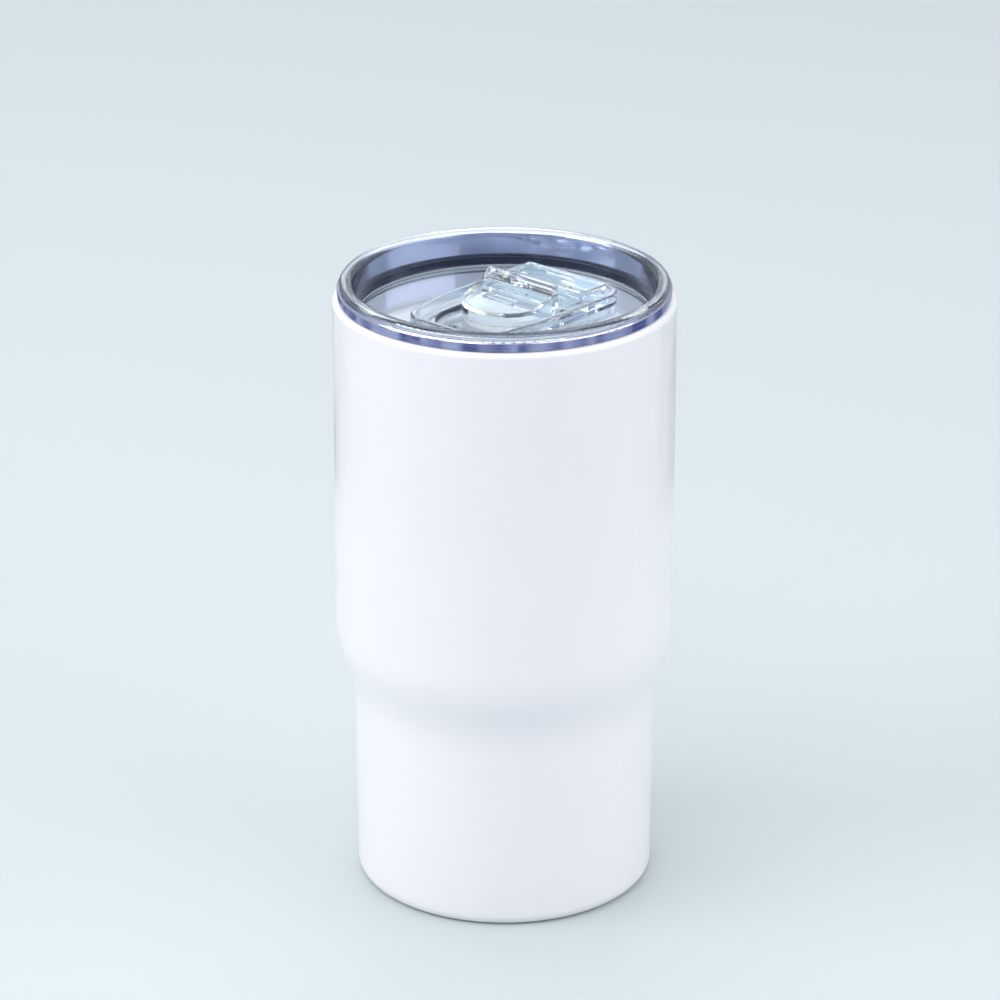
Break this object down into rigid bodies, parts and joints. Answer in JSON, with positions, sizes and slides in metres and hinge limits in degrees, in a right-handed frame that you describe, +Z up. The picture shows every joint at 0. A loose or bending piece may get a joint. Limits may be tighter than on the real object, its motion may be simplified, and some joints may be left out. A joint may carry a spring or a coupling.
{
  "type": "insulated tumbler with lid",
  "caption": "Double-wall vacuum tumbler, wide above a soft shoulder and narrower below, with a bare steel lip, a clear press-in lid and a sliding closure.",
  "frame": {"origin": "centre of the circular base, on the plane that the tumbler stands on", "axes": "+Z up along the tumbler's own axis; the drinking side of the lid faces -Y, and the slide track runs along Y"},
  "size_m": [0.084, 0.084, 0.1575],
  "materials": {
    "white_coating": "satin-gloss white polymer coating",
    "sheet_steel": "plain pressed sheet",
    "bright_steel": "spun satin",
    "adhesive": "cured silicone adhesive",
    "solder_glass": "fused glassy bead",
    "liner_steel": "electropolished satin",
    "copper": "bright thin foil",
    "getter_alloy": "sintered matt",
    "clear_plastic": "clear polished copolyester",
    "gasket_silicone": "dark soft silicone, satin",
    "clear_silicone": "translucent soft silicone"
  },
  "bodies": {
    "cup": {"outer_shell": "white_coating", "outer_base": "sheet_steel", "base_cover": "bright_steel", "cover_bond": "adhesive", "vacuum_seal": "solder_glass", "inner_liner": "liner_steel", "inner_bottom": "liner_steel", "copper_foil": "copper", "getter_cup": "sheet_steel", "getter_pellet": "getter_alloy"},
    "lid": {"lid_body": "clear_plastic", "lid_gasket": "gasket_silicone"},
    "slider": {"slider": "clear_plastic", "slider_seal": "clear_silicone"}
  },
  "joints": [
    {"name": "lid_lift", "type": "slide", "parent": "cup", "child": "lid", "axis": [0, 0, 1], "range_m": [0, 0.03]},
    {"name": "slider_close", "type": "slide", "parent": "lid", "child": "slider", "axis": [0, -1, 0], "range_m": [0, 0.0093]}
  ]
}
